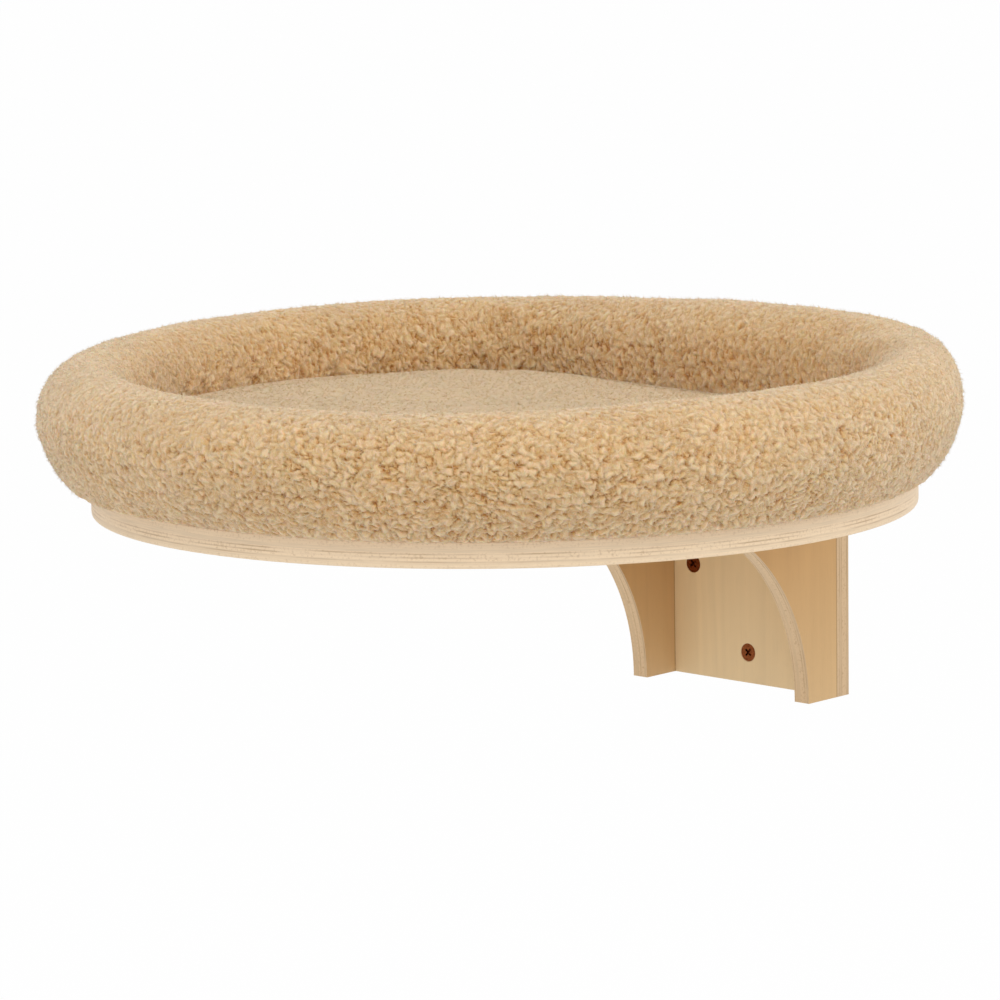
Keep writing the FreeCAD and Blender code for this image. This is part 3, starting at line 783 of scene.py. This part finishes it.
def woven(name, spacing, light, dark):
    """Plain weave: threads that pass over and under each other."""
    material, tree, shader, where = new_material(name, Roughness=0.9, Specular_IOR_Level=0.15)
    split = add_node(tree, "SeparateXYZ", {0: where.outputs["Object"]}).outputs
    turns = [calc(tree, "MULTIPLY", split[k], math.pi / spacing) for k in (0, 1)]
    waves = [calc(tree, "SINE", t) for t in turns]
    weave = calc(tree, "ABSOLUTE", calc(tree, "MULTIPLY", *waves))
    slub = noise(tree, where.outputs["Object"], 400.0, 3.0)
    level = calc(tree, "ADD", calc(tree, "MULTIPLY", weave, 0.6), calc(tree, "MULTIPLY", slub, 0.5))
    tree.links.new(ramp(tree, level, [(0.15, dark), (0.7, light)]), shader.inputs["Base Color"])
    add_bump(tree, shader, weave, 0.3 * MM)
    return material


def loose_fill(name, scale, light, dark):
    material, tree, shader, where = new_material(name, Roughness=0.95, Sheen_Weight=0.2)
    tangle = noise(tree, where.outputs["Object"], scale, 5.0, 1.5)
    tree.links.new(ramp(tree, tangle, [(0.3, dark), (0.65, light)]), shader.inputs["Base Color"])
    add_bump(tree, shader, tangle, 1.0 * MM)
    return material


# The pieces

def dress(piece, material, body, slot, *nodes):
    piece.data.materials.clear()
    piece.data.materials.append(material)
    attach(piece, body)
    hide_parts(*nodes)
    return piece


def paint(material, *names):
    for name in names:
        node = NODES[name]
        node.data.materials.clear()
        node.data.materials.append(material)


def fill_core():
    rng = np.random.default_rng(31)
    ring, section = np.arange(RING_FILL) / RING_FILL, np.arange(SECTION_FILL) / SECTION_FILL
    points = bolster_form(ring, section, FILL_INSET, FILL_INSET)
    u, v = np.meshgrid(ring, section, indexing="ij")
    tangle = soft_noise(rng, u, v, *LARGE_TANGLE) + 0.6 * soft_noise(rng, u, v, *SMALL_TANGLE)
    points = points + normals_of(points, True) * (FILL_TANGLE * tangle)[..., None]
    return make_piece("fibre_core", points, *ring_faces(RING_FILL, SECTION_FILL))


def foam_core():
    foam_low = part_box("pad_foam")[0]
    return closed_pad("foam_core", pad_form(PAD_FOAM, FOAM_INSET, FOAM_INSET), foam_low.z)


def base_cloth():
    """The cloth that closes the bed underneath, stretched flat, with a thickness of its own."""
    a, b = disc_grid(BASE_GRID)
    angle, share = np.arctan2(b, a), np.hypot(a, b)
    reach = plan_reach(angle, RING_RADIUS - BASE_HIGH.x)
    rng = np.random.default_rng(41)
    sag = BASE_SAG * soft_noise(rng, (a + 1) / 2.1, (b + 1) / 2.1, 9, 9) * (1 - share ** 2)
    x, y = share * reach * np.cos(angle), BED_Y + share * reach * np.sin(angle)
    points = np.stack([x, y, BASE_LOW.z + BASE_MIDDLE + sag], -1)
    piece = make_piece("base_cloth", points, disc_faces(BASE_GRID))
    thick = piece.modifiers.new("Thickness", "SOLIDIFY")
    thick.thickness = BASE_THICKNESS
    thick.offset = 0
    return piece


def base_hem():
    """The row of stitches that sews the base cloth to the bed, as one piece of short raised threads."""
    angle = np.arange(STITCHES) / STITCHES * 2 * math.pi
    reach = plan_reach(angle, RING_RADIUS - BASE_HIGH.x + HEM_INSET)
    rings = (-1.0, 0.375), (-0.5, 1.0), (0.5, 1.0), (1.0, 0.375)
    sides = np.arange(STITCH_SIDES)
    points, faces = [], []
    for turn, far in zip(angle, reach):
        along = np.array([-math.sin(turn), math.cos(turn), 0])
        out = np.array([math.cos(turn), math.sin(turn), 0])
        middle = far * out + np.array([0, BED_Y, BASE_LOW.z + STITCH_LEVEL])
        first = len(points)
        for step, share in rings:
            for side in sides * 2 * math.pi / STITCH_SIDES:
                spread = out * math.cos(side) + np.array([0, 0, math.sin(side)])
                points.append(middle + along * step * STITCH_REACH + spread * share * STITCH_RADIUS)
        for start in range(first, len(points) - STITCH_SIDES, STITCH_SIDES):
            for k in range(STITCH_SIDES):
                a, b = start + k, start + (k + 1) % STITCH_SIDES
                faces.append([a, b, b + STITCH_SIDES, a + STITCH_SIDES])
        last = len(points) - STITCH_SIDES
        faces += [(first + sides[::-1]).tolist(), (last + sides).tolist()]
    return make_piece("base_stitches", points, faces)


def dress_bracket():
    shelf_face = (0.775, 0.565, 0.315), (0.775, 0.565, 0.315)
    # Painted shade: the plate's and gussets' faces darken towards the shelf above them, and the gussets'
    # tones are darker all over
    plate_face_painted_shade = (0.77, 0.59, 0.35), (0.735, 0.53, 0.285)
    gusset_face_painted_shade = (0.655, 0.435, 0.215), (0.535, 0.295, 0.105)
    pale_edge, dull_edge, warm_edge = (0.85, 0.67, 0.465), (0.685, 0.50, 0.305), (0.635, 0.45, 0.267)
    x, y, z = range(3)
    # Glued-up axis, plies, glue lines, grain axis, face tones from low to high, edge tone and seam axis
    boards = {
        "shelf_disc": (z, 7, (0.24, 0.39, 0.52), x, shelf_face, pale_edge, y),
        "back_plate": (y, 5, (0.22, 0.40, 0.85), z, plate_face_painted_shade, warm_edge, z),
        "gusset_left": (x, 5, (0.08, 0.55, 0.92), z, gusset_face_painted_shade, dull_edge, y),
        "gusset_right": (x, 5, (0.08, 0.72, 0.90), z, gusset_face_painted_shade, dull_edge, y),
    }
    for name, look in boards.items():
        paint(plywood("plywood_" + name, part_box(name), *look), name)
    metal = bronzed_metal()
    paint(metal, *[n for n in NODES if "_screw_" in n])
    hook = tape("hook_tape", 0.9 * MM, rgb(0.62, 0.47, 0.30), rgb(0.38, 0.27, 0.16))
    loop = tape("loop_tape", 0.5 * MM, rgb(0.64, 0.49, 0.32), rgb(0.50, 0.37, 0.23))
    paint(hook, *[n for n in NODES if n.startswith("hook_")])
    paint(loop, *[n for n in NODES if n.startswith("loop_")])


def dress_bed():
    # The first two shades of each pile, for its crevices and roots, are painted shade between the locks
    shades = rgb(0.42, 0.16, 0.03), rgb(0.58, 0.31, 0.10), rgb(0.66, 0.425, 0.195), rgb(0.765, 0.57, 0.345)
    bolster_pile = plush("bolster_pile", *shades)
    shades = rgb(0.465, 0.275, 0.105), rgb(0.54, 0.34, 0.147), rgb(0.60, 0.395, 0.185), rgb(0.64, 0.44, 0.221)
    pad_pile = plush("pad_pile", *shades)
    bolster, loose = bolster_piece()
    dress(bolster, bolster_pile, "bed", "bolster_plush", "bolster_cover")
    strands = strands_of("bolster_strands", rgb(0.74, 0.55, 0.335), rgb(0.83, 0.67, 0.46))
    dress(loose, strands, "bed", "bolster_plush")
    pad, loose = pad_piece()
    dress(pad, pad_pile, "bed", "pad_plush", "pad_cover")
    strands = strands_of("pad_strands", rgb(0.60, 0.405, 0.195), rgb(0.67, 0.475, 0.25))
    dress(loose, strands, "bed", "pad_plush")
    fibre = loose_fill("loose_fibre", 350.0, rgb(0.86, 0.86, 0.84), rgb(0.62, 0.62, 0.60))
    core = dress(fill_core(), fibre, "bed", "fibre_fill", "bolster_fill")
    cells = loose_fill("open_cells", 900.0, rgb(0.88, 0.86, 0.78), rgb(0.66, 0.63, 0.54))
    foam = dress(foam_core(), cells, "bed", "pad_foam", "pad_foam")
    weave = woven("plain_weave", 0.9 * MM, rgb(0.62, 0.48, 0.33), rgb(0.38, 0.28, 0.17))
    cloth = dress(base_cloth(), weave, "bed", "base_cloth", "bed_base_cloth")
    thread = woven("stitch_thread", 0.3 * MM, rgb(0.66, 0.53, 0.38), rgb(0.45, 0.34, 0.22))
    hem = dress(base_hem(), thread, "bed", "base_cloth")


# The stage

def by_camera_ray(tree):
    """1 for rays that show the background itself: seen directly, in gloss or through glass."""
    path = add_node(tree, "LightPath").outputs
    seen = calc(tree, "ADD", path["Is Camera Ray"], path["Is Glossy Ray"], True)
    return calc(tree, "ADD", seen, path["Is Transmission Ray"], True)


def make_floor():
    z = CAD_BOX[0].z - FLOOR_DROP
    corners = [(x * FLOOR_SIDE, y * FLOOR_SIDE, z) for x, y in ((-1, -1), (1, -1), (1, 1), (-1, 1))]
    floor = make_piece("floor", corners, [[0, 1, 2, 3]])
    look = dict(Base_Color=rgb(0.86, 0.86, 0.86), Roughness=0.9)
    material, tree, shader = new_material("pale_floor", **look)[:3]
    white = add_node(tree, "Emission", {"Color": rgb(1, 1, 1), "Strength": 1.0})
    share = calc(tree, "MULTIPLY", by_camera_ray(tree), 0.97)
    both = add_node(tree, "MixShader", {0: share, 1: shader.outputs[0], 2: white.outputs[0]})
    tree.links.new(both.outputs[0], tree.nodes["Material Output"].inputs["Surface"])
    floor.data.materials.append(material)


def make_world():
    world = bpy.data.worlds.new("studio")
    bpy.context.scene.world = world
    world.use_nodes = True
    tree = world.node_tree
    background = tree.nodes["Background"]
    background.inputs["Color"].default_value = rgb(1, 1, 1)
    seen = by_camera_ray(tree)
    tree.links.new(span_of(tree, seen, 0.0, 1.0, WORLD_LIGHT, 1.0), background.inputs["Strength"])


def make_light(name, place, aim, size, power):
    data = bpy.data.lights.new(name, "AREA")
    data.shape = "DISK"
    data.size = size
    data.energy = power
    light = bpy.data.objects.new(name, data)
    light.location = place
    light.rotation_mode = "QUATERNION"
    light.rotation_quaternion = (Vector(aim) - Vector(place)).to_track_quat("-Z", "Y")
    bpy.context.scene.collection.objects.link(light)


def make_camera():
    data = bpy.data.cameras.new("camera")
    data.sensor_width = 36.0
    data.lens = data.sensor_width * FOCAL_PIXELS / FRAME_PIXELS
    camera = bpy.data.objects.new("camera", data)
    pitch, yaw = CAMERA_PITCH, CAMERA_YAW
    forward = Vector((math.sin(yaw) * math.cos(pitch), math.cos(yaw) * math.cos(pitch), -math.sin(pitch)))
    right = Vector((math.cos(yaw), -math.sin(yaw), 0))
    up = right.cross(forward)
    c, s = math.cos(CAMERA_ROLL), math.sin(CAMERA_ROLL)
    axes = (right * c + up * s, up * c - right * s, -forward)
    camera.matrix_world = Matrix.Translation(CAMERA_PLACE) @ Matrix(axes).transposed().to_4x4()
    bpy.context.scene.collection.objects.link(camera)
    bpy.context.scene.camera = camera


def make_stage():
    bpy.context.scene.view_settings.view_transform = "Standard"
    make_floor()
    make_world()
    aim = (0, BED_Y, SHELF_HIGH.z)
    make_light("key", (1.2, -1.6, 2.2), aim, 1.6, 20.0)
    make_light("side", (2.0, 0.9, 1.5), aim, 1.4, 12.0)
    make_light("low", (0.2, -2.2, -0.2), (0, 0, 0), 1.2, 2.0)
    make_camera()


dress_bracket()
dress_bed()
make_stage()
